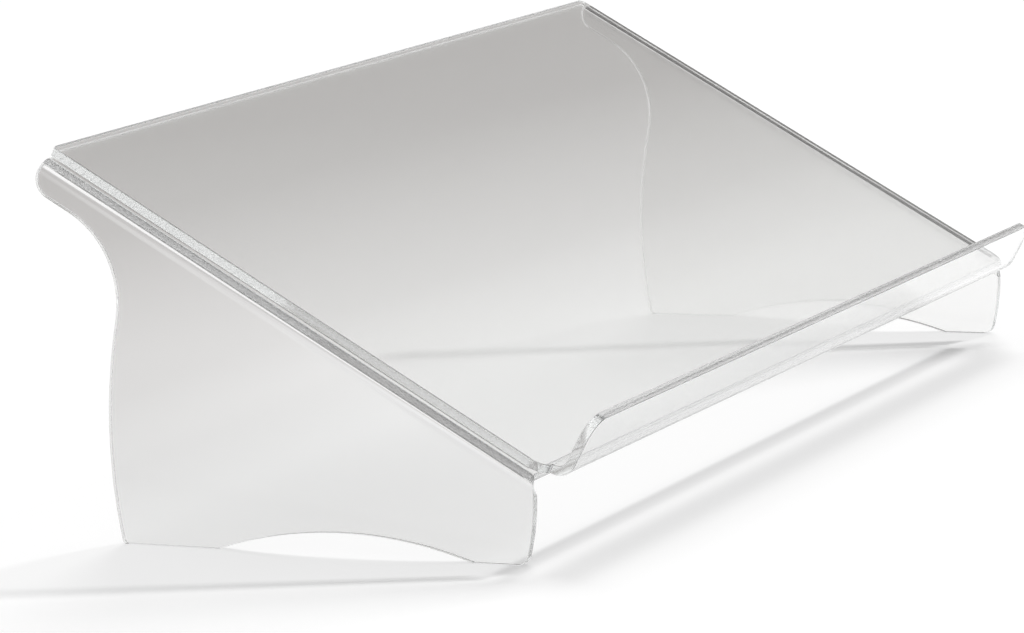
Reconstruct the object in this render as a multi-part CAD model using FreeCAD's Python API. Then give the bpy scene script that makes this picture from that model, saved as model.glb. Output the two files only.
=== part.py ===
import FreeCAD, Part
import math
import os

# A clear acrylic document holder: a bent base sheet with two shaped legs, and a second sheet with a
# front ledge that lies on it and pulls out down the slope like a shallow drawer.
# Millimetres and degrees. The front is towards -Y, and the desk is at Z = 0.

# Base sheet
overall_width = 515.0
base_sheet = 4.0
base_bend_inner_radius = 2.0
slope_angle = 30.0
back_height = 164.0
back_overhang = 25.0
base_back_setback = 1.2
base_top_length = 248.5
leg_top_length = 254.0

# Leg outline, seen from the side
nose_depth = 13.4
nose_radius = 8.0
shoulder_radius = 39.5
waist_inset = 4.5
waist_radius = 50.0
calf_bulge = 3.3
calf_height = 38.0
heel_radius = 2.0
back_foot_length = 45.0
arch_span = 116.0
arch_rise = 9.3
front_foot_length = 24.3
toe_radius = 5.0
front_edge_bow = 0.8

# Sliding document plate
plate_sheet = 4.0
plate_side_inset = 6.7
plate_flat_length = 251.0
plate_back_corner_radius = 3.0
ledge_bend_inner_radius = 4.5
ledge_height = 25.3
ledge_side_inset = 7.3
ledge_corner_radius = 10.0

# Grip strips between the two sheets
strip_thickness = 0.5
strip_width = 3.0
strip_side_inset = 1.0
strip_end_gap = 4.0

slope = math.radians(slope_angle)
down_slope = FreeCAD.Vector(0, -math.cos(slope), -math.sin(slope))
off_slope = FreeCAD.Vector(0, -math.sin(slope), math.cos(slope))
back_edge = FreeCAD.Vector(0, back_overhang, back_height)
base_top = -(plate_sheet + strip_thickness)
base_bend_outer_radius = base_bend_inner_radius + base_sheet
plate_width = overall_width - 2 * plate_side_inset


def on_slope(x, along, off):
    """A point at a distance down the slope and off the plate's top face."""
    point = back_edge + down_slope * along + off_slope * off
    return FreeCAD.Vector(x, point.y, point.z)


def side_point(depth, height):
    """A point of the leg's outline: depth in front of the heel, height above the desk."""
    return FreeCAD.Vector(0, -depth, height)


def arc_between(start, end, centre):
    """The shorter arc from start to end about centre."""
    radius = (start - centre).Length
    middle = (start + end) * 0.5 - centre
    middle.normalize()
    return Part.Arc(start, centre + middle * radius, end).toShape()


def line(start, end):
    return Part.LineSegment(start, end).toShape()


def extruded(edges, direction):
    """A solid swept from a closed outline."""
    wire = Part.Wire(Part.__sortEdges__(edges))
    return Part.Face(wire).extrude(direction)


def edges_at(shape, points):
    """The edges of a shape whose middles lie on the given points."""
    found = []
    for edge in shape.Edges:
        middle = edge.CenterOfMass
        if any((middle - point).Length < 0.01 for point in points):
            found.append(edge)
    return found


def base_channel():
    """The base sheet after both bends, before its outline is cut: an inverted U along the slope."""
    half = overall_width / 2
    leg_end = back_height / math.cos(slope) + leg_top_length * math.sin(slope)
    origin = on_slope(0, -nose_radius, 0)

    def at(x, off):
        return origin + FreeCAD.Vector(x, 0, 0) + off_slope * off

    outer = base_bend_outer_radius
    under = base_top - base_sheet
    bend_off = base_top - outer
    flat = half - outer
    edges = [
        line(at(-flat, base_top), at(flat, base_top)),
        line(at(-flat, under), at(flat, under)),
    ]
    for side in (-1, 1):
        outer_x = side * half
        inner_x = side * (half - base_sheet)
        centre = at(side * flat, bend_off)
        edges.append(arc_between(at(outer_x, bend_off), at(side * flat, base_top), centre))
        edges.append(arc_between(at(inner_x, bend_off), at(side * flat, under), centre))
        edges.append(line(at(outer_x, -leg_end), at(outer_x, bend_off)))
        edges.append(line(at(inner_x, -leg_end), at(inner_x, bend_off)))
        edges.append(line(at(outer_x, -leg_end), at(inner_x, -leg_end)))
    return extruded(edges, down_slope * (leg_top_length + back_height))


def leg_outline():
    """The side outline of the base: nose, shoulder, waist, calf, two feet, arch and front edge."""
    nose_off = base_top - nose_depth
    above = base_top + base_sheet
    nose_top = on_slope(0, base_back_setback, above)
    nose_corner = on_slope(0, base_back_setback, nose_off)

    # Shoulder: an arc from the nose's underside to the upright waist.
    centre_depth = waist_inset - shoulder_radius
    centre_off = nose_off - shoulder_radius
    along = (centre_depth + back_overhang - centre_off * math.sin(slope)) / math.cos(slope)
    shoulder_top = on_slope(0, along, nose_off)
    shoulder_centre = on_slope(0, along, centre_off)
    waist = side_point(waist_inset, shoulder_centre.z)

    # Waist to calf: two arcs that meet with one direction.
    calf = side_point(-calf_bulge, calf_height)
    shift = waist_inset + calf_bulge
    drop = waist.z - calf_height
    both_radii = (drop ** 2 + shift ** 2) / (2 * shift)
    calf_radius = both_radii - waist_radius
    waist_centre = side_point(waist_inset - waist_radius, waist.z)
    calf_centre = side_point(calf_radius - calf_bulge, calf_height)
    meeting = waist_centre + (calf_centre - waist_centre) * (waist_radius / both_radii)

    # Calf to heel.
    heel = side_point(0, 0)
    heel_arc_radius = (calf_height ** 2 + calf_bulge ** 2) / (2 * calf_bulge)
    heel_centre = side_point(heel_arc_radius - calf_bulge, calf_height)

    # Feet and arch.
    arch_start = side_point(back_foot_length, 0)
    arch_top = side_point(back_foot_length + arch_span / 2, arch_rise)
    arch_end = side_point(back_foot_length + arch_span, 0)
    toe = side_point(back_foot_length + arch_span + front_foot_length, 0)

    # Front edge: from the side bend down to the toe, with a slight bow.
    front_top = on_slope(0, leg_top_length, above)
    front_bend = on_slope(0, leg_top_length, base_top - base_bend_outer_radius)
    bow = (front_bend + toe) * 0.5
    bow.y -= front_edge_bow

    edges = [
        line(front_top, nose_top),
        line(nose_top, nose_corner),
        line(nose_corner, shoulder_top),
        arc_between(shoulder_top, waist, shoulder_centre),
        arc_between(waist, meeting, waist_centre),
        arc_between(meeting, calf, calf_centre),
        arc_between(calf, heel, heel_centre),
        line(heel, arch_start),
        Part.Arc(arch_start, arch_top, arch_end).toShape(),
        line(arch_end, toe),
        Part.Arc(toe, bow, front_bend).toShape(),
        line(front_bend, front_top),
    ]
    half_span = FreeCAD.Vector(overall_width / 2 + base_sheet, 0, 0)
    for edge in edges:
        edge.translate(-half_span)
    block = extruded(edges, half_span * 2)
    block = block.makeFillet(nose_radius, edges_at(block, [nose_corner]))
    block = block.makeFillet(heel_radius, edges_at(block, [heel]))
    return block.makeFillet(toe_radius, edges_at(block, [toe]))


def bend_front_cutter(side):
    """What is cut off the front of one side bend, so that its end runs from the top sheet to the leg."""
    steps = 6
    bend_off = base_top - base_bend_outer_radius
    bend_x = side * (overall_width / 2 - base_bend_outer_radius)
    rulings = []
    for step in range(steps + 1):
        turn = math.pi / 2 * step / steps
        along = base_top_length + (leg_top_length - base_top_length) * step / steps
        centre = on_slope(bend_x, along, bend_off)
        outwards = FreeCAD.Vector(side * math.sin(turn), 0, 0) + off_slope * math.cos(turn)
        inner_end = centre + outwards * (base_bend_inner_radius / 2)
        outer_end = centre + outwards * (base_bend_outer_radius + base_sheet)
        rulings.append(Part.Wire(line(inner_end, outer_end)))
    surface = Part.makeLoft(rulings, False, False)
    return surface.Faces[0].extrude(down_slope * base_bend_outer_radius * 2)


def top_front_cutter():
    """What is cut off the front of the flat top sheet."""
    flat = overall_width / 2 - base_bend_outer_radius
    low = base_top - base_bend_outer_radius + base_bend_inner_radius / 2
    corners = [
        on_slope(-flat, base_top_length, low),
        on_slope(flat, base_top_length, low),
        on_slope(flat, base_top_length, base_top + base_sheet),
        on_slope(-flat, base_top_length, base_top + base_sheet),
    ]
    edges = [line(corners[i], corners[(i + 1) % 4]) for i in range(4)]
    return extruded(edges, down_slope * base_bend_outer_radius * 2)


def bent_base():
    cutters = [top_front_cutter(), bend_front_cutter(-1), bend_front_cutter(1)]
    return base_channel().common(leg_outline()).cut(cutters).Solids[0]


def ledge_end_cutter(side):
    """What is cut off one front corner: a quarter round that runs into the narrower ledge."""
    edge_x = side * plate_width / 2
    ledge_x = side * (plate_width / 2 - ledge_side_inset)
    outside_x = side * overall_width / 2
    round_start = plate_flat_length - ledge_side_inset
    beyond = plate_flat_length + ledge_height
    low = -2 * plate_sheet
    centre = on_slope(ledge_x, round_start, low)
    points = [
        on_slope(ledge_x, plate_flat_length, low),
        on_slope(ledge_x, beyond, low),
        on_slope(outside_x, beyond, low),
        on_slope(outside_x, round_start, low),
        on_slope(edge_x, round_start, low),
    ]
    edges = [line(points[i], points[i + 1]) for i in range(4)]
    edges.append(arc_between(points[4], points[0], centre))
    return extruded(edges, off_slope * (ledge_height * 2))


def document_plate():
    """The flat sheet with its front edge bent square to it as a ledge."""
    inner = ledge_bend_inner_radius
    outer = inner + plate_sheet
    x = -plate_width / 2
    centre = on_slope(x, plate_flat_length, inner)
    flat_end = on_slope(x, plate_flat_length, 0)
    under_end = on_slope(x, plate_flat_length, -plate_sheet)
    under_start = on_slope(x, 0, -plate_sheet)
    ledge_inner = on_slope(x, plate_flat_length + inner, inner)
    ledge_outer = on_slope(x, plate_flat_length + outer, inner)
    top_inner = on_slope(x, plate_flat_length + inner, ledge_height)
    top_outer = on_slope(x, plate_flat_length + outer, ledge_height)
    edges = [
        line(on_slope(x, 0, 0), flat_end),
        arc_between(flat_end, ledge_inner, centre),
        line(ledge_inner, top_inner),
        line(top_inner, top_outer),
        line(top_outer, ledge_outer),
        arc_between(ledge_outer, under_end, centre),
        line(under_end, under_start),
        line(under_start, on_slope(x, 0, 0)),
    ]
    sheet = extruded(edges, FreeCAD.Vector(plate_width, 0, 0))
    sheet = sheet.cut([ledge_end_cutter(-1), ledge_end_cutter(1)]).Solids[0]
    ledge_x = plate_width / 2 - ledge_side_inset
    ledge_middle = plate_flat_length + inner + plate_sheet / 2
    ledge_corners = [on_slope(side * ledge_x, ledge_middle, ledge_height) for side in (-1, 1)]
    back_corners = [on_slope(side * plate_width / 2, 0, -plate_sheet / 2) for side in (-1, 1)]
    sheet = sheet.makeFillet(ledge_corner_radius, edges_at(sheet, ledge_corners))
    return sheet.makeFillet(plate_back_corner_radius, edges_at(sheet, back_corners))


def grip_strip(side):
    """A thin strip stuck to the base, just inside the plate's side edge."""
    outer_x = side * (plate_width / 2 - strip_side_inset)
    inner_x = outer_x - side * strip_width
    start = base_back_setback + strip_end_gap
    end = base_top_length - strip_end_gap
    corners = [
        on_slope(outer_x, start, base_top),
        on_slope(inner_x, start, base_top),
        on_slope(inner_x, end, base_top),
        on_slope(outer_x, end, base_top),
    ]
    edges = [line(corners[i], corners[(i + 1) % 4]) for i in range(4)]
    return extruded(edges, off_slope * strip_thickness)


parts = {
    "bent_base": bent_base(),
    "document_plate": document_plate(),
    "left_grip_strip": grip_strip(-1),
    "right_grip_strip": grip_strip(1),
}

# The origin is under the middle of the whole holder, on the desk.
box = Part.makeCompound(list(parts.values())).optimalBoundingBox(False, False)
to_middle = FreeCAD.Vector(0, -(box.YMin + box.YMax) / 2, 0)

os.makedirs("parts", exist_ok=True)
for name, shape in parts.items():
    shape.translate(to_middle)
    shape.exportStep("parts/" + name + ".step")
    print(name, round(shape.Volume), "mm3", len(shape.Solids), "solid", shape.isValid())
print("moved by", to_middle)
print("size", box.XLength, box.YLength, box.ZLength, "low", box.ZMin)
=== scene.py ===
import bmesh
import bpy
import math
from mathutils import Matrix, Vector


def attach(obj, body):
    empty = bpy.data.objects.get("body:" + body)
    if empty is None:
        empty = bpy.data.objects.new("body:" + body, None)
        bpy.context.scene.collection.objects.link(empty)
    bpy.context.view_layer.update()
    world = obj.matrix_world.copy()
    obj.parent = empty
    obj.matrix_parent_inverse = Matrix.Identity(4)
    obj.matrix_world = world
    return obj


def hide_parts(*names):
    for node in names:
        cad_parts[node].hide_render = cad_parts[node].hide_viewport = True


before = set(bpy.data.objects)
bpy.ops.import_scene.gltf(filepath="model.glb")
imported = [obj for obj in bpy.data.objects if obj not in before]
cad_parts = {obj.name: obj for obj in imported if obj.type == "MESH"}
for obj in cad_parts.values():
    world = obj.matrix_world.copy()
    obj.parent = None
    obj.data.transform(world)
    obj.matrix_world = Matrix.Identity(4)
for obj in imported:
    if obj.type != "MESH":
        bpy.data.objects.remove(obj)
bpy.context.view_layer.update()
scene = bpy.context.scene
print("frame loaded:", sorted(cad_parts))

# Metres and degrees. x is across the holder, the front is towards -y, and the desk is z = 0.


def makeCamera():
    shot = {
        "place": (-1.9468, -0.9535, 0.4266),
        "turn": 63.027,      # from the +y axis towards +x
        "down": 9.771,
        "roll": 3.220,
        "lens": 172.895,
        "sensor": 36.0,
        "nearest": 0.05,
        "farthest": 60.0,
    }
    turn, down, roll = (math.radians(shot[key]) for key in ("turn", "down", "roll"))
    look = Vector((
        math.sin(turn) * math.cos(down), math.cos(turn) * math.cos(down), -math.sin(down)
    ))
    side = Vector((math.cos(turn), -math.sin(turn), 0.0))
    under = look.cross(side)
    right = side * math.cos(roll) + under * math.sin(roll)
    up = side * math.sin(roll) - under * math.cos(roll)
    axes = Matrix((right, up, -look)).transposed().to_4x4()
    camera = bpy.data.objects.new("deskCamera", bpy.data.cameras.new("deskCamera"))
    camera.matrix_world = Matrix.Translation(shot["place"]) @ axes
    camera.data.lens = shot["lens"]
    camera.data.sensor_width = shot["sensor"]
    camera.data.sensor_fit = "HORIZONTAL"
    camera.data.clip_start = shot["nearest"]
    camera.data.clip_end = shot["farthest"]
    scene.collection.objects.link(camera)
    scene.camera = camera
    print("camera placed")


def addNode(nodes, kind, settings=None, values=None):
    node = nodes.new("ShaderNode" + kind)
    for key, value in (settings or {}).items():
        setattr(node, key, value)
    for key, value in (values or {}).items():
        node.inputs[key].default_value = value
    return node


def newMaterial(name):
    material = bpy.data.materials.new(name)
    material.use_nodes = True
    nodes = material.node_tree.nodes
    return material, nodes, material.node_tree.links.new, nodes["Principled BSDF"]


def newGroup(name, inputs, outputs):
    group = bpy.data.node_groups.new(name, "ShaderNodeTree")
    for label, kind, value in inputs:
        socket = group.interface.new_socket(label, in_out="INPUT", socket_type=kind)
        socket.default_value = value
    for label, kind in outputs:
        group.interface.new_socket(label, in_out="OUTPUT", socket_type=kind)
    return group, group.nodes.new("NodeGroupInput"), group.nodes.new("NodeGroupOutput")


def handlingHaze():
    # Faint haze from wiping and handling: roughness that drifts, and a slow swell of the sheet.
    smearValues = {"detail": 4.0, "faintest": 0.35, "fullest": 0.75}
    group, given, out = newGroup(
        "handlingHaze",
        [
            ("Smear size", "NodeSocketFloat", 9.0),
            ("Swell size", "NodeSocketFloat", 4.0),
            ("Clean roughness", "NodeSocketFloat", 0.004),
            ("Hazy roughness", "NodeSocketFloat", 0.03),
        ],
        [("Roughness", "NodeSocketFloat"), ("Swell", "NodeSocketFloat")],
    )
    nodes, link = group.nodes, group.links.new
    place = addNode(nodes, "TexCoord")
    smear = addNode(nodes, "TexNoise", values={"Detail": smearValues["detail"]})
    swell = addNode(nodes, "TexNoise", values={"Detail": 0.0})
    spread = addNode(nodes, "MapRange", values={
        "From Min": smearValues["faintest"],
        "From Max": smearValues["fullest"],
    })
    link(place.outputs["Object"], smear.inputs["Vector"])
    link(place.outputs["Object"], swell.inputs["Vector"])
    link(given.outputs["Smear size"], smear.inputs["Scale"])
    link(given.outputs["Swell size"], swell.inputs["Scale"])
    link(smear.outputs["Fac"], spread.inputs["Value"])
    link(given.outputs["Clean roughness"], spread.inputs["To Min"])
    link(given.outputs["Hazy roughness"], spread.inputs["To Max"])
    link(spread.outputs["Result"], out.inputs["Roughness"])
    link(swell.outputs["Fac"], out.inputs["Swell"])
    return group


def sawMarks():
    # The fine hatching that a saw and a polishing wheel leave across a cut edge.
    hatchValues = {"Distortion": 3.0, "Detail": 3.0, "Detail Scale": 0.6}
    patchValues = {"Scale": 35.0, "Detail": 3.0}
    group, given, out = newGroup(
        "sawMarks",
        [
            ("Mark size", "NodeSocketFloat", 420.0),
            ("Light", "NodeSocketColor", (0.9, 0.92, 0.9, 1.0)),
            ("Dark", "NodeSocketColor", (0.7, 0.74, 0.7, 1.0)),
            ("Smoothest", "NodeSocketFloat", 0.003),
            ("Roughest", "NodeSocketFloat", 0.03),
        ],
        [
            ("Color", "NodeSocketColor"),
            ("Height", "NodeSocketFloat"),
            ("Roughness", "NodeSocketFloat"),
        ],
    )
    nodes, link = group.nodes, group.links.new
    place = addNode(nodes, "TexCoord")
    hatch = addNode(nodes, "TexWave", {"bands_direction": "DIAGONAL"}, hatchValues)
    patches = addNode(nodes, "TexNoise", values=patchValues)
    tone = addNode(nodes, "Mix", {"data_type": "RGBA"})
    rough = addNode(nodes, "MapRange")
    link(place.outputs["Object"], hatch.inputs["Vector"])
    link(place.outputs["Object"], patches.inputs["Vector"])
    link(given.outputs["Mark size"], hatch.inputs["Scale"])
    link(given.outputs["Light"], tone.inputs["A"])
    link(given.outputs["Dark"], tone.inputs["B"])
    link(patches.outputs["Fac"], tone.inputs["Factor"])
    link(patches.outputs["Fac"], rough.inputs["Value"])
    link(given.outputs["Smoothest"], rough.inputs["To Min"])
    link(given.outputs["Roughest"], rough.inputs["To Max"])
    link(tone.outputs["Result"], out.inputs["Color"])
    link(hatch.outputs["Fac"], out.inputs["Height"])
    link(rough.outputs["Result"], out.inputs["Roughness"])
    return group


# Both sheets are cast acrylic. The heights are those of a face's swell and an edge's marks.
acrylic = {
    "ior": 1.49,
    "swellHeight": 0.001,
    "markHeight": 0.0002,
    # Light that runs inside a sheet loses a little at each face, once it has met this many
    "lossFrom": 7.0,
    "fullLossFrom": 12.0,
    "loss": 0.006,
}


def grey(tone):
    return (tone, tone, tone, 1.0)


def passLight(nodes, link, shader, shade):
    # Lamps shine on through a sheet to the floor, a little weaker at each face.
    path = addNode(nodes, "LightPath")
    guided = addNode(nodes, "MapRange", values={
        "From Min": acrylic["lossFrom"],
        "From Max": acrylic["fullLossFrom"],
        "To Max": acrylic["loss"],
    })
    lost = addNode(nodes, "BsdfTransparent", values={"Color": grey(0.0)})
    dimmed = addNode(nodes, "MixShader")
    either = addNode(nodes, "Math", {"operation": "MAXIMUM"})
    clear = addNode(nodes, "BsdfTransparent", values={"Color": grey(shade)})
    blend = addNode(nodes, "MixShader")
    link(path.outputs["Is Shadow Ray"], either.inputs[0])
    link(path.outputs["Is Diffuse Ray"], either.inputs[1])
    link(path.outputs["Ray Depth"], guided.inputs["Value"])
    link(guided.outputs["Result"], dimmed.inputs["Fac"])
    link(shader.outputs["BSDF"], dimmed.inputs[1])
    link(lost.outputs["BSDF"], dimmed.inputs[2])
    link(either.outputs["Value"], blend.inputs["Fac"])
    link(dimmed.outputs["Shader"], blend.inputs[1])
    link(clear.outputs["BSDF"], blend.inputs[2])
    link(blend.outputs["Shader"], nodes["Material Output"].inputs["Surface"])


def clearSheet(name, haze, finish):
    material, nodes, link, shader = newMaterial(name)
    shader.inputs["Base Color"].default_value = finish["colour"]
    shader.inputs["IOR"].default_value = acrylic["ior"]
    shader.inputs["Transmission Weight"].default_value = 1.0
    drift = addNode(nodes, "Group", {"node_tree": haze}, finish["haze"])
    bump = addNode(nodes, "Bump", values={
        "Strength": finish["swell"],
        "Distance": acrylic["swellHeight"],
    })
    link(drift.outputs["Swell"], bump.inputs["Height"])
    link(drift.outputs["Roughness"], shader.inputs["Roughness"])
    link(bump.outputs["Normal"], shader.inputs["Normal"])
    passLight(nodes, link, shader, finish["shade"])
    return material


def cutEdge(name, marks, finish):
    material, nodes, link, shader = newMaterial(name)
    shader.inputs["IOR"].default_value = acrylic["ior"]
    shader.inputs["Transmission Weight"].default_value = finish["clear"]
    hatch = addNode(nodes, "Group", {"node_tree": marks}, finish["marks"])
    bump = addNode(nodes, "Bump", values={
        "Strength": finish["depth"],
        "Distance": acrylic["markHeight"],
    })
    link(hatch.outputs["Color"], shader.inputs["Base Color"])
    link(hatch.outputs["Roughness"], shader.inputs["Roughness"])
    link(hatch.outputs["Height"], bump.inputs["Height"])
    link(bump.outputs["Normal"], shader.inputs["Normal"])
    passLight(nodes, link, shader, finish["shade"])
    return material


def gripRubber():
    rubber = {
        "grain": {"Scale": 900.0, "Detail": 6.0},
        "darkAt": 0.3,
        "dark": (0.03, 0.03, 0.028, 1.0),
        "lightAt": 0.7,
        "light": (0.08, 0.08, 0.075, 1.0),
        "roughness": {"To Min": 0.55, "To Max": 0.8},
        "relief": {"Strength": 0.3, "Distance": 0.0002},
    }
    material, nodes, link, shader = newMaterial("gripRubber")
    place = addNode(nodes, "TexCoord")
    grain = addNode(nodes, "TexNoise", values=rubber["grain"])
    tone = addNode(nodes, "ValToRGB")
    for stop, end in zip(tone.color_ramp.elements, ("dark", "light")):
        stop.position = rubber[end + "At"]
        stop.color = rubber[end]
    rough = addNode(nodes, "MapRange", values=rubber["roughness"])
    bump = addNode(nodes, "Bump", values=rubber["relief"])
    link(place.outputs["Object"], grain.inputs["Vector"])
    link(grain.outputs["Fac"], tone.inputs["Fac"])
    link(grain.outputs["Fac"], rough.inputs["Value"])
    link(grain.outputs["Fac"], bump.inputs["Height"])
    link(tone.outputs["Color"], shader.inputs["Base Color"])
    link(rough.outputs["Result"], shader.inputs["Roughness"])
    link(bump.outputs["Normal"], shader.inputs["Normal"])
    return material


# The slope that both sheets lie on
slopeValues = {
    "angle": 30.0,
    "backEdgeY": 0.1162005,
    "backEdgeZ": 0.164,
}
slope = math.radians(slopeValues["angle"])
acrossAxis = Vector((1.0, 0.0, 0.0))
downSlope = Vector((0.0, -math.cos(slope), -math.sin(slope)))
offSlope = Vector((0.0, -math.sin(slope), math.cos(slope)))
backEdge = Vector((0.0, slopeValues["backEdgeY"], slopeValues["backEdgeZ"]))


def onSlope(x, along, off):
    return backEdge + acrossAxis * x + downSlope * along + offSlope * off


def arcAbout(centre, start, end, count):
    # The shorter way round, start and end included.
    first, last = start - centre, end - centre
    turn = first.angle(last)
    axis = first.cross(last).normalized()
    return [centre + Matrix.Rotation(turn * i / count, 3, axis) @ first for i in range(count + 1)]


def bowedLine(start, end, bulge, count):
    # A shallow arc that stands off its chord by the bulge vector at the middle.
    rise = bulge.length
    reach = (end - start).length / 2
    radius = (reach ** 2 + rise ** 2) / (2 * rise)
    centre = (start + end) / 2 + bulge - bulge.normalized() * radius
    return arcAbout(centre, start, end, count)


def roundedCorner(before, corner, after, radius, count):
    # A fillet between two straight runs that meet at a corner.
    toBefore = (before - corner).normalized()
    toAfter = (after - corner).normalized()
    half = toBefore.angle(toAfter) / 2
    reach = radius / math.tan(half)
    centre = corner + (toBefore + toAfter).normalized() * (radius / math.sin(half))
    return arcAbout(centre, corner + toBefore * reach, corner + toAfter * reach, count)


def addPiece(name, mesh, materials):
    data = bpy.data.meshes.new(name)
    mesh.to_mesh(data)
    mesh.free()
    for material in materials:
        data.materials.append(material)
    piece = bpy.data.objects.new(name, data)
    scene.collection.objects.link(piece)
    return piece


# Which material each part of a bent sheet takes
flatSlot, edgeSlot, bendSlot, wallSlot, arrisSlot = range(5)


def bentSheet(name, panels, thickness, materials):
    # panels: (slot, ring), where a ring is closed and holds (point, outward normal).
    # Rings that touch share their corners.
    edges = {"break": 0.0003, "segments": 2, "sharperThan": 50.0, "flatWeight": 80}
    weldDigits = 6
    mesh = bmesh.new()
    skins = {}

    def corner(point, normal):
        key = tuple(round(value, weldDigits) for value in point)
        if key not in skins:
            skins[key] = (mesh.verts.new(point), mesh.verts.new(point - normal * thickness))
        return skins[key]

    for slot, ring in panels:
        pairs = [corner(point, normal) for point, normal in ring]
        outer = mesh.faces.new([pair[0] for pair in pairs])
        inner = mesh.faces.new([pair[1] for pair in reversed(pairs)])
        outer.material_index = inner.material_index = slot
        outer.normal_update()
        if outer.normal.dot(ring[0][1]) < 0:
            outer.normal_flip()
            inner.normal_flip()
    opposite = {pair[0]: pair[1] for pair in skins.values()}
    rim = [edge for edge in mesh.edges if len(edge.link_faces) == 1 and edge.verts[0] in opposite]
    for edge in rim:
        a, b = edge.verts
        cut = mesh.faces.new([a, b, opposite[b], opposite[a]])
        cut.material_index = edgeSlot
    bmesh.ops.recalc_face_normals(mesh, faces=mesh.faces[:])
    for face in mesh.faces:
        face.smooth = True
    piece = addPiece(name, mesh, materials)
    arris = piece.modifiers.new("edgeBreak", "BEVEL")
    arris.width = edges["break"]
    arris.segments = edges["segments"]
    arris.limit_method = "ANGLE"
    arris.angle_limit = math.radians(edges["sharperThan"])
    arris.material = arrisSlot
    evened = piece.modifiers.new("evened", "WEIGHTED_NORMAL")
    evened.weight = edges["flatWeight"]
    evened.keep_sharp = True
    return piece


def bendPanels(rulings):
    # One panel between each straight ruling of a bend and the next.
    return [
        (bendSlot, [this[0], this[1], following[1], following[0]])
        for this, following in zip(rulings, rulings[1:])
    ]


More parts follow.
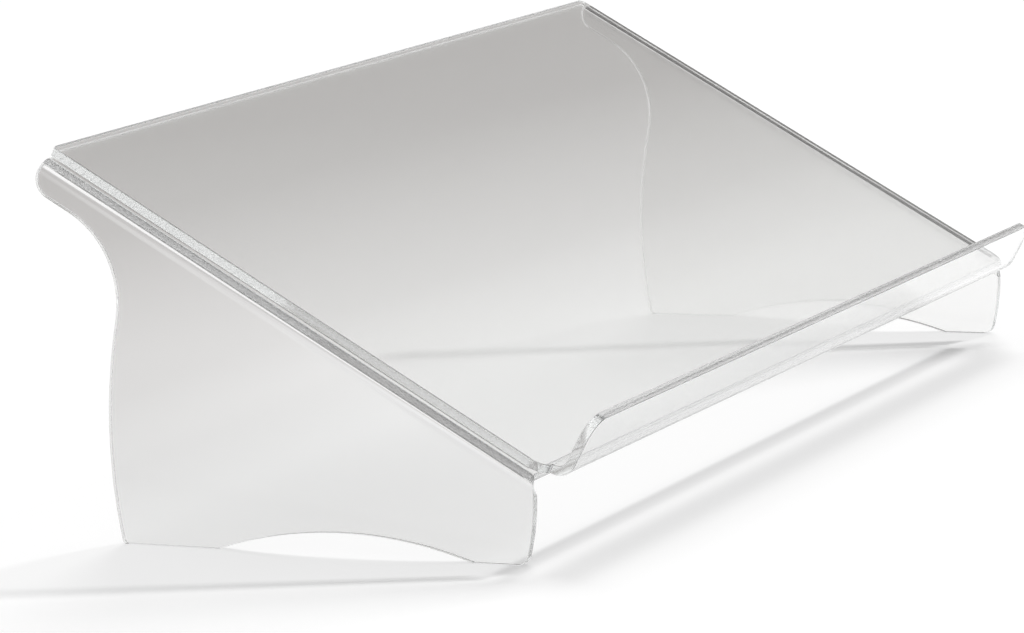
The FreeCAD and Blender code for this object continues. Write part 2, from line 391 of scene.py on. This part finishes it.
def makeBase(haze, edgeFace, arris):
    base = {
        "width": 0.515,
        "sheet": 0.004,
        "top": -0.0045,            # off the plate's top face
        "bendRadius": 0.006,
        "back": 0.0012,
        "topFront": 0.2485,
        "legFront": 0.254,
        "heelY": 0.0912005,
        "noseDepth": 0.0134,
        "noseRadius": 0.008,
        "shoulderRadius": 0.0395,
        "waistInset": 0.0045,
        "waistRadius": 0.05,
        "calfBulge": 0.0033,
        "calfHeight": 0.038,
        "heelRadius": 0.002,
        "heelLead": 0.01,          # how much of the heel's side leads into its rounding
        "backFoot": 0.045,
        "archSpan": 0.116,
        "archRise": 0.0093,
        "frontFoot": 0.0243,
        "toeRadius": 0.005,
        "frontBow": 0.0008,
        "steps": {
            "bend": 16, "nose": 14, "shoulder": 28, "waist": 12, "calf": 12,
            "ankle": 12, "heel": 6, "arch": 40, "toe": 10, "front": 16,
        },
        "flatFinish": {
            "colour": (0.932, 0.932, 0.927, 1.0),
            "haze": {"Smear size": 9.0},
            "swell": 0.06,
            "shade": 0.99,
        },
        "bendFinish": {
            # Painted highlight: the bend is tinted paler than the flat part of the same sheet
            "colour": (0.95, 0.95, 0.947, 1.0),
            "haze": {"Smear size": 9.0, "Clean roughness": 0.07, "Hazy roughness": 0.12},
            "swell": 0.0,
            "shade": 0.05,
        },
        "legShade": 0.9,
    }
    steps = base["steps"]
    half = base["width"] / 2
    radius = base["bendRadius"]
    flat = half - radius
    bendOff = base["top"] - radius
    noseOff = base["top"] - base["noseDepth"]

    def low(depth, height):
        return Vector((0.0, base["heelY"] - depth, height))

    # One leg's outline, from the bend's back end round to its front end
    bendBack = onSlope(0, base["back"], bendOff)
    noseCorner = onSlope(0, base["back"], noseOff)
    aboveShoulder = onSlope(0, 0, noseOff - base["shoulderRadius"])
    shoulderY = base["heelY"] - base["waistInset"] + base["shoulderRadius"]
    along = (aboveShoulder.y - shoulderY) / math.cos(slope)
    shoulderTop = onSlope(0, along, noseOff)
    shoulderCentre = onSlope(0, along, noseOff - base["shoulderRadius"])
    waist = low(base["waistInset"], shoulderCentre.z)
    shift = base["waistInset"] + base["calfBulge"]
    drop = waist.z - base["calfHeight"]
    bothRadii = (drop ** 2 + shift ** 2) / (2 * shift)
    waistCentre = low(base["waistInset"] - base["waistRadius"], waist.z)
    calf = low(-base["calfBulge"], base["calfHeight"])
    calfCentre = low(
        bothRadii - base["waistRadius"] - base["calfBulge"], base["calfHeight"]
    )
    meeting = waistCentre + (calfCentre - waistCentre) * (base["waistRadius"] / bothRadii)
    heelBend = (base["calfHeight"] ** 2 + base["calfBulge"] ** 2) / (2 * base["calfBulge"])
    heelCentre = low(heelBend - base["calfBulge"], base["calfHeight"])
    heel = low(0, 0)
    heelSide = (heel - heelCentre).cross(acrossAxis).normalized() * base["heelLead"]
    if heelSide.z < 0:
        heelSide = -heelSide
    archFrom = low(base["backFoot"], 0)
    archTo = low(base["backFoot"] + base["archSpan"], 0)
    toe = low(base["backFoot"] + base["archSpan"] + base["frontFoot"], 0)
    heelRound = roundedCorner(heel + heelSide, heel, archFrom, base["heelRadius"], steps["heel"])
    archRise = Vector((0, 0, base["archRise"]))
    bendFront = onSlope(0, base["legFront"], bendOff)
    toeRound = roundedCorner(archTo, toe, bendFront, base["toeRadius"], steps["toe"])
    outward = (bendFront - toe).cross(acrossAxis).normalized()
    frontBow = outward * math.copysign(base["frontBow"], -outward.y)
    noseRound = roundedCorner(bendBack, noseCorner, shoulderTop, base["noseRadius"], steps["nose"])
    ring = [bendBack]
    ring += noseRound[1:]
    ring += arcAbout(shoulderCentre, shoulderTop, waist, steps["shoulder"])
    ring += arcAbout(waistCentre, waist, meeting, steps["waist"])[1:]
    ring += arcAbout(calfCentre, meeting, calf, steps["calf"])[1:]
    ring += arcAbout(heelCentre, calf, heelRound[0], steps["ankle"])[1:]
    ring += heelRound[1:]
    ring += bowedLine(archFrom, archTo, archRise, steps["arch"])
    ring += toeRound
    ring += bowedLine(toeRound[-1], bendFront, frontBow, steps["front"])[1:]

    back, front = base["back"], base["topFront"]
    corners = [(-flat, back), (-flat, front), (flat, front), (flat, back)]
    panels = [(flatSlot, [(onSlope(x, along, base["top"]), offSlope) for x, along in corners])]
    for hand in (-1, 1):
        rulings = []
        for step in range(steps["bend"] + 1):
            turn = math.pi / 2 * step / steps["bend"]
            outward = acrossAxis * (hand * math.sin(turn)) + offSlope * math.cos(turn)
            end = front + (base["legFront"] - front) * step / steps["bend"]
            rulings.append([
                (onSlope(hand * flat, along, bendOff) + outward * radius, outward)
                for along in (back, end)
            ])
        panels += bendPanels(rulings)
        outside = acrossAxis * hand
        panels.append((wallSlot, [(point + outside * half, outside) for point in ring]))
    legFinish = {**base["flatFinish"], "shade": base["legShade"]}
    piece = bentSheet("bentBaseSheet", panels, base["sheet"], [
        clearSheet("clearBaseFlat", haze, base["flatFinish"]),
        edgeFace,
        clearSheet("clearBaseBend", haze, base["bendFinish"]),
        clearSheet("clearBaseLeg", haze, legFinish),
        arris,
    ])
    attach(piece, "base")
    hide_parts("bent_base")
    print("base sheet made:", len(piece.data.polygons), "faces")


def makePlate(haze, edgeFace, arris):
    plate = {
        "width": 0.5016,
        "sheet": 0.004,
        "flatLength": 0.251,
        "backCornerRadius": 0.003,
        "bendInner": 0.0045,
        "ledgeHeight": 0.0253,
        "ledgeInset": 0.0073,
        "ledgeCornerRadius": 0.010,
        "steps": {"backCorner": 8, "quarterRound": 16, "bend": 18, "ledgeCorner": 14},
        "flatFinish": {
            "colour": (0.985, 0.99, 0.985, 1.0),
            "haze": {"Smear size": 13.0},
            "swell": 0.06,
            "shade": 0.99,
        },
        "bendSwell": 0.01,
        "bendShade": 0.5,
        # Painted light: the ledge is tinted clearer than the rest of the same sheet, so that it
        # reads lighter
        "ledgeColourPaintedLighter": (1.0, 1.0, 1.0, 1.0),
        "ledgeShade": 0.88,
    }
    steps = plate["steps"]
    half = plate["width"] / 2
    ledgeHalf = half - plate["ledgeInset"]
    flatLength, inner = plate["flatLength"], plate["bendInner"]
    outer = inner + plate["sheet"]
    roundStart = flatLength - plate["ledgeInset"]

    def atUnder(x, along):
        return onSlope(x, along, -plate["sheet"])

    def onLedge(x, off):
        return onSlope(x, flatLength + outer, off)

    def mirrored(points):
        return [Vector((-point.x, point.y, point.z)) for point in reversed(points)]

    # The flat part, seen from below: rounded back corners, and quarter rounds into the ledge
    left = roundedCorner(
        atUnder(0, 0), atUnder(-half, 0), atUnder(-half, flatLength),
        plate["backCornerRadius"], steps["backCorner"],
    )
    left += arcAbout(
        atUnder(-ledgeHalf, roundStart), atUnder(-half, roundStart),
        atUnder(-ledgeHalf, flatLength), steps["quarterRound"],
    )
    panels = [(flatSlot, [(point, -offSlope) for point in left + mirrored(left)])]
    rulings = []
    for step in range(steps["bend"] + 1):
        turn = math.pi / 2 * step / steps["bend"]
        outward = downSlope * math.sin(turn) - offSlope * math.cos(turn)
        rulings.append([
            (onSlope(x, flatLength, inner) + outward * outer, outward)
            for x in (-ledgeHalf, ledgeHalf)
        ])
    panels += bendPanels(rulings)
    top = plate["ledgeHeight"]
    ledge = [onLedge(-ledgeHalf, inner)]
    ledge += roundedCorner(
        onLedge(-ledgeHalf, inner), onLedge(-ledgeHalf, top), onLedge(0, top),
        plate["ledgeCornerRadius"], steps["ledgeCorner"],
    )
    panels.append((wallSlot, [(point, downSlope) for point in ledge + mirrored(ledge)]))
    finish = plate["flatFinish"]
    bendFinish = {**finish, "swell": plate["bendSwell"], "shade": plate["bendShade"]}
    ledgeFinish = {**finish, "colour": plate["ledgeColourPaintedLighter"], "shade": plate["ledgeShade"]}
    piece = bentSheet("slidingPlate", panels, plate["sheet"], [
        clearSheet("clearPlateFlat", haze, finish),
        edgeFace,
        clearSheet("clearPlateBend", haze, bendFinish),
        clearSheet("clearPlateLedge", haze, ledgeFinish),
        arris,
    ])
    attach(piece, "plate")
    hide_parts("document_plate")
    print("sliding plate made:", len(piece.data.polygons), "faces")


def makeStrip(hand, material):
    strip = {
        "outer": 0.2498,
        "width": 0.003,
        "start": 0.0052,
        "end": 0.2445,
        "low": -0.00448,
        "high": -0.00403,
        "crown": 0.0008,           # how far the top narrows at each side
        "crownShare": 0.4,         # where the rounding of the crown is half way
        "sideDrop": 0.0002,
        "crownDrop": 0.00005,
        "narrowEnd": 0.86,
        "segments": 60,
    }
    name = "leftGripStrip" if hand < 0 else "rightGripStrip"
    mesh = bmesh.new()
    half = strip["width"] / 2
    middle = hand * (strip["outer"] - half)
    profile = [
        (-half, strip["low"]),
        (-half, strip["high"] - strip["sideDrop"]),
        (-half + strip["crown"] * strip["crownShare"], strip["high"] - strip["crownDrop"]),
        (-half + strip["crown"], strip["high"]),
    ]
    profile += [(-x, off) for x, off in reversed(profile)]
    length, segments = strip["end"] - strip["start"], strip["segments"]
    rows = []
    for step in range(segments + 1):
        along = strip["start"] + length * step / segments
        narrowing = strip["narrowEnd"] if step in (0, segments) else 1.0
        rows.append([
            mesh.verts.new(onSlope(middle + x * narrowing, along, off)) for x, off in profile
        ])
    count = len(profile)
    for this, following in zip(rows, rows[1:]):
        for i in range(count):
            j = (i + 1) % count
            mesh.faces.new([this[i], this[j], following[j], following[i]])
    mesh.faces.new(rows[0])
    mesh.faces.new(rows[-1])
    bmesh.ops.recalc_face_normals(mesh, faces=mesh.faces[:])
    piece = addPiece(name, mesh, [material])
    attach(piece, "base")
    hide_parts("left_grip_strip" if hand < 0 else "right_grip_strip")
    print(name, "made")


def studioMask(nodes, link):
    # 1 for what is seen in or through the clear sheets, 0 for the rest.
    path = addNode(nodes, "LightPath")
    either = addNode(nodes, "Math", {"operation": "MAXIMUM"})
    link(path.outputs["Is Transmission Ray"], either.inputs[0])
    link(path.outputs["Is Glossy Ray"], either.inputs[1])
    return either


def makeFloor():
    floorValues = {
        "size": 14.0,
        "colour": (1.0, 1.0, 1.0, 1.0),
        # Painted shade on the floor seen through the sheets: it falls off to grey towards the back
        # of the studio:
        # how far back, and its tone there. It is palest in front, with painted light above white
        # there, and pale again far off.
        "paintedFalloff": [
            (-0.13, 1.12), (-0.07, 1.0), (0.10, 1.0), (0.162, 0.92), (0.21, 0.87),
            (0.265, 0.785), (0.33, 0.745), (0.42, 0.685), (0.49, 0.635), (0.56, 0.585),
            (0.63, 0.575), (0.80, 0.535), (1.0, 0.56), (1.7, 1.0),
        ],
        "falloffAcross": 0.04,
        "falloffFrom": -0.2,
        "falloffTo": 1.8,
        # The greyer it is the warmer: green and blue fall faster than red
        "greenKept": 0.95,
        "blueFall": 0.06,
        # Painted shadow: seen through the sheets, it is a little darker where it lies under the
        # holder
        "paintedShadowPlace": (-0.14, 0.06, 0.0),
        "paintedShadowReach": 0.42,
        "paintedShadowTone": 0.84,
        "cells": 8,
    }
    material = bpy.data.materials.new("paleFloor")
    material.use_nodes = True
    nodes, link = material.node_tree.nodes, material.node_tree.links.new
    nodes.clear()
    output = addNode(nodes, "OutputMaterial")
    diffuse = addNode(nodes, "BsdfDiffuse")
    place = addNode(nodes, "TexCoord")
    back = addNode(nodes, "VectorMath", {"operation": "DOT_PRODUCT"}, {
        1: (floorValues["falloffAcross"], 1.0, 0.0),
    })
    nearest, farthest = floorValues["falloffFrom"], floorValues["falloffTo"]
    span = addNode(nodes, "MapRange", values={"From Min": nearest, "From Max": farthest})
    # The painted falloff of light, as tones from front to back
    tones = addNode(nodes, "ValToRGB")
    stops = floorValues["paintedFalloff"]
    while len(tones.color_ramp.elements) < len(stops):
        tones.color_ramp.elements.new(0.5)
    kept = floorValues["greenKept"]
    for stop, (position, tone) in zip(tones.color_ramp.elements, stops):
        stop.position = (position - nearest) / (farthest - nearest)
        green = tone * (kept + (1 - kept) * tone)
        blue = tone * tone ** floorValues["blueFall"]
        stop.color = (tone, green, blue, 1.0)
    # The painted shadow of the holder, darkest at its middle and gone at its reach
    away = addNode(nodes, "VectorMath", {"operation": "DISTANCE"}, {1: floorValues["paintedShadowPlace"]})
    under = addNode(nodes, "MapRange", {"interpolation_type": "SMOOTHSTEP"}, {
        "From Max": floorValues["paintedShadowReach"],
        "To Min": floorValues["paintedShadowTone"],
    })
    # The painted falloff times the painted shadow, seen only in and through the sheets
    through = addNode(nodes, "VectorMath", {"operation": "MULTIPLY"})
    shown = addNode(nodes, "Mix", {"data_type": "RGBA"}, {"A": floorValues["colour"]})
    mask = studioMask(nodes, link)
    link(place.outputs["Object"], back.inputs[0])
    link(place.outputs["Object"], away.inputs[0])
    link(back.outputs["Value"], span.inputs["Value"])
    link(span.outputs["Result"], tones.inputs["Fac"])
    link(away.outputs["Value"], under.inputs["Value"])
    link(tones.outputs["Color"], through.inputs[0])
    link(under.outputs["Result"], through.inputs[1])
    link(through.outputs["Vector"], shown.inputs["B"])
    link(mask.outputs["Value"], shown.inputs["Factor"])
    link(shown.outputs["Result"], diffuse.inputs["Color"])
    link(diffuse.outputs["BSDF"], output.inputs["Surface"])
    mesh = bmesh.new()
    bmesh.ops.create_grid(
        mesh,
        x_segments=floorValues["cells"],
        y_segments=floorValues["cells"],
        size=floorValues["size"] / 2,
    )
    floor = addPiece("paleFloor", mesh, [material])
    print("floor made")


def makeLight():
    light = {
        "world": 0.24,
        # What the sheets mirror: grey above the back of the studio, pale overhead,
        # in front and far off
        "palerTowards": (0.0, -2.0, 1.0),
        "paleFrom": 0.22,
        "paleTo": 0.42,
        "farFrom": -0.3,
        "farTo": -0.6,
        "dim": (0.45, 0.435, 0.432, 1.0),
        "pale": (1.0, 1.0, 1.0, 1.0),
        "lamps": {
            "frontLamp": {"from": (0.83, -0.37, 1.0), "spread": 5.5, "strength": 1.45},
            "sideLamp": {"from": (1.1, 0.3, 1.0), "spread": 24.0, "strength": 2.1},
        },
        "lampReach": 2.0,
    }
    world = bpy.data.worlds.new("softStudio")
    world.use_nodes = True
    scene.world = world
    nodes, link = world.node_tree.nodes, world.node_tree.links.new
    background = nodes["Background"]
    place = addNode(nodes, "TexCoord")
    towards = addNode(nodes, "VectorMath", {"operation": "DOT_PRODUCT"}, {
        1: light["palerTowards"],
    })
    paleness = addNode(nodes, "MapRange", values={
        "From Min": light["paleFrom"],
        "From Max": light["paleTo"],
    })
    farness = addNode(nodes, "MapRange", values={
        "From Min": light["farFrom"],
        "From Max": light["farTo"],
    })
    paler = addNode(nodes, "Math", {"operation": "MAXIMUM"})
    tone = addNode(nodes, "Mix", {"data_type": "RGBA"}, {"A": light["dim"], "B": light["pale"]})
    path = addNode(nodes, "LightPath")
    lit = addNode(nodes, "Mix", {"data_type": "RGBA"}, {"A": grey(light["world"]), "B": grey(1.0)})
    shown = addNode(nodes, "Mix", {"data_type": "RGBA"})
    mask = studioMask(nodes, link)
    link(place.outputs["Generated"], towards.inputs[0])
    link(towards.outputs["Value"], paleness.inputs["Value"])
    link(towards.outputs["Value"], farness.inputs["Value"])
    link(paleness.outputs["Result"], paler.inputs[0])
    link(farness.outputs["Result"], paler.inputs[1])
    link(paler.outputs["Value"], tone.inputs["Factor"])
    link(path.outputs["Is Camera Ray"], lit.inputs["Factor"])
    link(lit.outputs["Result"], shown.inputs["A"])
    link(tone.outputs["Result"], shown.inputs["B"])
    link(mask.outputs["Value"], shown.inputs["Factor"])
    link(shown.outputs["Result"], background.inputs["Color"])
    for name, lampValues in light["lamps"].items():
        shinesFrom = Vector(lampValues["from"])
        data = bpy.data.lights.new(name, "SUN")
        data.energy = lampValues["strength"]
        data.angle = math.radians(lampValues["spread"])
        lamp = bpy.data.objects.new(name, data)
        lamp.location = shinesFrom * light["lampReach"]
        lamp.rotation_euler = shinesFrom.to_track_quat("Z", "Y").to_euler()
        # The sheets mirror the studio round them, not the lamps themselves
        lamp.visible_glossy = False
        lamp.visible_transmission = False
        scene.collection.objects.link(lamp)
    print("light made")


# The sawn and polished edges, and the thin satin line where an edge meets a face
edgeLook = {
    "marks": {
        "Mark size": 420.0,
        "Light": (1.0, 1.0, 1.0, 1.0),
        "Dark": (0.9, 0.925, 0.915, 1.0),
    },
    "depth": 0.03,
    "clear": 0.985,
    "shade": 0.85,
}
arrisLook = {
    "marks": {
        "Mark size": 420.0,
        "Light": (1.0, 1.0, 1.0, 1.0),
        "Dark": (0.9, 0.92, 0.91, 1.0),
        "Smoothest": 0.25,
        "Roughest": 0.45,
    },
    "depth": 0.03,
    "clear": 0.95,
    "shade": 0.85,
}

makeCamera()
haze = handlingHaze()
marks = sawMarks()
edgeFace = cutEdge("polishedCutEdge", marks, edgeLook)
arris = cutEdge("brokenArris", marks, arrisLook)
rubber = gripRubber()
print("shared materials made")
makeBase(haze, edgeFace, arris)
makePlate(haze, edgeFace, arris)
makeStrip(-1, rubber)
makeStrip(1, rubber)
makeFloor()
makeLight()

scene.view_settings.view_transform = "Standard"
bounces = 320      # light runs across the whole sheet before it leaves at a cut edge
scene.cycles.max_bounces = bounces
scene.cycles.transmission_bounces = bounces
scene.cycles.glossy_bounces = bounces
